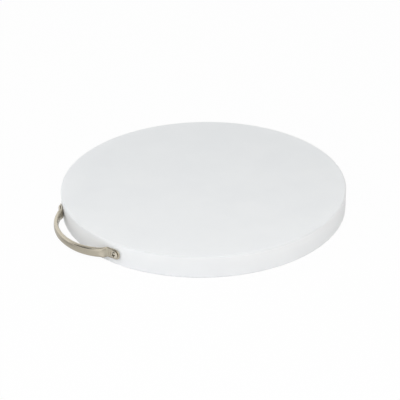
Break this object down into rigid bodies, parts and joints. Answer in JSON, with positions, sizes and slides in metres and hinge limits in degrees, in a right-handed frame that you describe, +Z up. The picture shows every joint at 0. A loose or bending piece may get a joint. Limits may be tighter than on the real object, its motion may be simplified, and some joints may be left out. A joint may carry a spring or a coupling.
{
  "type": "round cutting board",
  "caption": "Round white plastic cutting board, a thick plain slab with softened edges and a bent steel carrying handle screwed to its side.",
  "frame": {"origin": "centre of the board's flat underside", "axes": "+Z up through the board's thickness, -Y towards the handle, X along the line through the handle's two screws"},
  "size_m": [0.38, 0.405, 0.03],
  "materials": {
    "polyethylene": "white, slightly waxy and translucent, fine moulded grain",
    "satin_steel": "satin, slightly warm",
    "screw_steel": "bright"
  },
  "bodies": {
    "root": {"board": "polyethylene", "handle": "satin_steel", "handle_screw_left": "screw_steel", "handle_screw_right": "screw_steel"}
  },
  "joints": []
}
